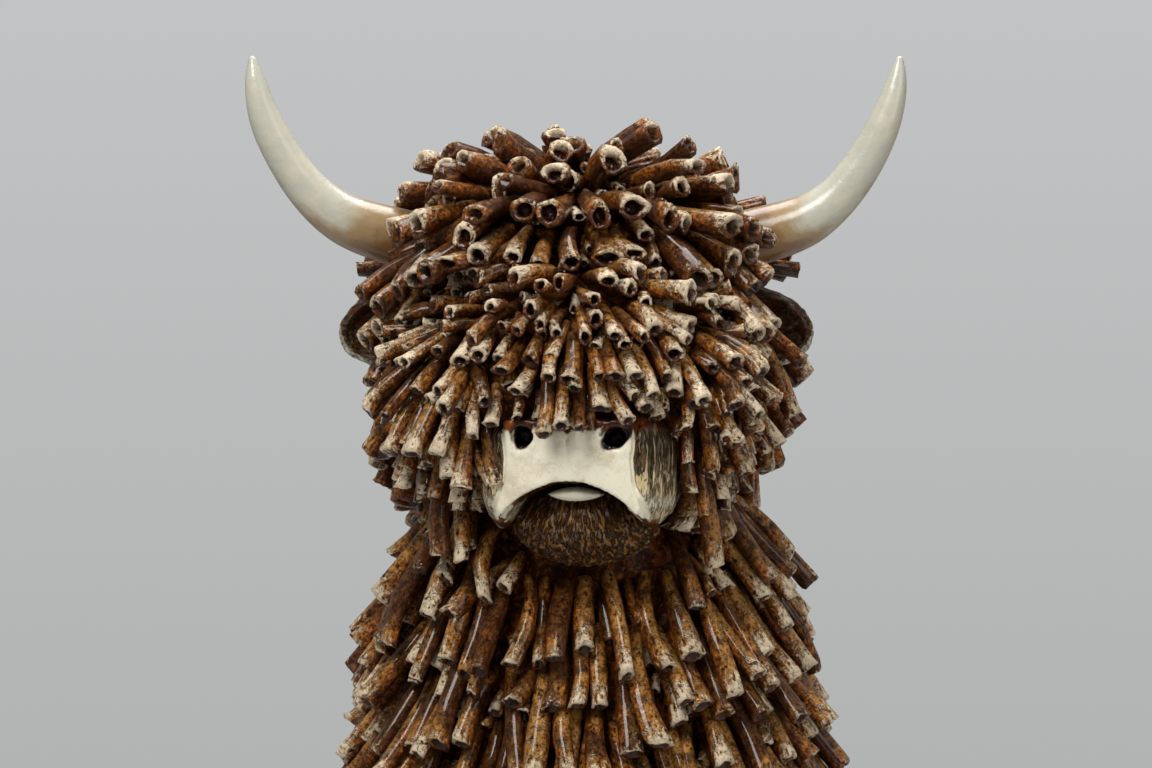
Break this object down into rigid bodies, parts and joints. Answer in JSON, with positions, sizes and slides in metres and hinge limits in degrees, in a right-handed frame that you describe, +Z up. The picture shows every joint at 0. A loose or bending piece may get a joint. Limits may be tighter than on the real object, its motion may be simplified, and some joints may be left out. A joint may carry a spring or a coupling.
{
  "type": "highland cow figurine",
  "caption": "Seated long-haired cow figurine with curved horns, a pale muzzle and a shaggy coat of hollow clay rolls, on a flat felt base.",
  "frame": {"origin": "on the ground, at the foot of the vertical line through the neck, on the underside of the felt base", "axes": "+Z up, the face looks along -Y, +X towards the viewer's right when facing it"},
  "size_m": [0.1719, 0.175, 0.2385],
  "materials": {
    "roll_clay": "glossy red-brown glaze, cracked across, rubbed back to cream at the mouths",
    "core_clay": "glossy dark brown glaze",
    "haired_clay": "scored hair, dark in the grooves, rubbed back to cream on the ridges",
    "muzzle_cream": "smooth satin cream, blushed brown at the edges",
    "horn_ivory": "smooth glossy ivory, stained brown near the root",
    "ear_clay": "scored hair, tan along the rim",
    "hoof_clay": "glossy dark horn brown",
    "dowel_steel": "plain steel rod",
    "felt": "brown wool felt"
  },
  "bodies": {
    "root": {"back_rolls_1": "roll_clay", "back_rolls_10": "roll_clay", "back_rolls_11": "roll_clay", "back_rolls_2": "roll_clay", "back_rolls_3": "roll_clay", "back_rolls_4": "roll_clay", "back_rolls_5": "roll_clay", "back_rolls_6": "roll_clay", "back_rolls_7": "roll_clay", "back_rolls_8": "roll_clay", "back_rolls_9": "roll_clay", "base_felt": "felt", "body_core": "core_clay", "cheek_rolls_left": "roll_clay", "cheek_rolls_right": "roll_clay", "chest_rolls_1": "roll_clay", "chest_rolls_10": "roll_clay", "chest_rolls_11": "roll_clay", "chest_rolls_2": "roll_clay", "chest_rolls_3": "roll_clay", "chest_rolls_4": "roll_clay", "chest_rolls_5": "roll_clay", "chest_rolls_6": "roll_clay", "chest_rolls_7": "roll_clay", "chest_rolls_8": "roll_clay", "chest_rolls_9": "roll_clay", "chin": "haired_clay", "crown_rolls": "roll_clay", "ear_left": "ear_clay", "ear_right": "ear_clay", "face_rolls_1": "roll_clay", "face_rolls_2": "roll_clay", "face_rolls_3": "roll_clay", "face_rolls_4": "roll_clay", "face_rolls_5": "roll_clay", "face_rolls_6": "roll_clay", "fore_hoof_left": "hoof_clay", "fore_hoof_right": "hoof_clay", "forelock_rolls_1": "roll_clay", "forelock_rolls_2": "roll_clay", "forelock_rolls_3": "roll_clay", "head_core": "core_clay", "hind_hoof_left": "hoof_clay", "hind_hoof_right": "hoof_clay", "horn_left": "horn_ivory", "horn_right": "horn_ivory", "jowl_rolls_left": "roll_clay", "jowl_rolls_right": "roll_clay", "lower_lip": "muzzle_cream", "nape_rolls_lower": "roll_clay", "nape_rolls_upper": "roll_clay", "neck_dowel": "dowel_steel", "nose_pad": "muzzle_cream", "snout": "haired_clay", "tail": "core_clay", "tail_tuft_rolls": "roll_clay", "temple_rolls_left": "roll_clay", "temple_rolls_right": "roll_clay"}
  },
  "joints": []
}
